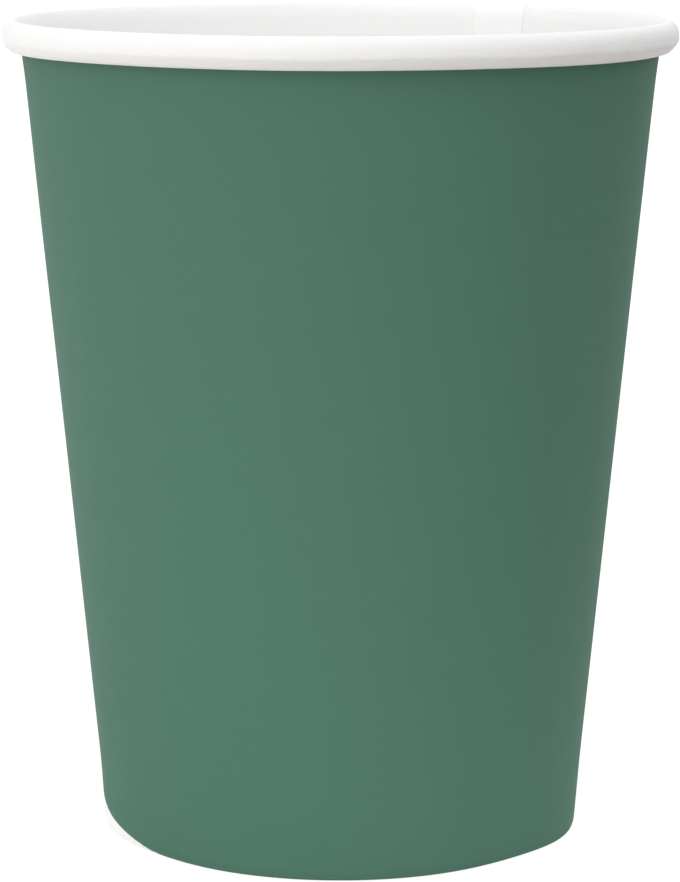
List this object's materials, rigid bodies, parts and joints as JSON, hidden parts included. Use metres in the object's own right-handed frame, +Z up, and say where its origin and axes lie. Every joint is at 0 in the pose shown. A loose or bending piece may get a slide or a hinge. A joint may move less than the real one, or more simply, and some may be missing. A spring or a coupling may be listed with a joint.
{
  "type": "paper coffee cup",
  "caption": "Single-wall conical paper cup with a rolled rim, a lapped side seam and a bottom disc held up inside a folded hem.",
  "frame": {"origin": "centre of the standing edge, on the surface that the cup stands on", "axes": "+Z up along the cup's axis to the open rim; the side seam lies at the back right, about 52 degrees from +X towards +Y"},
  "size_m": [0.078, 0.078, 0.095],
  "materials": {
    "printed_board": "uncoated matt green print outside, smooth white lining inside",
    "white_board": "smooth white lining above, bare board below"
  },
  "bodies": {
    "root": {"side_wall": "printed_board", "bottom_disc": "white_board"}
  },
  "joints": []
}
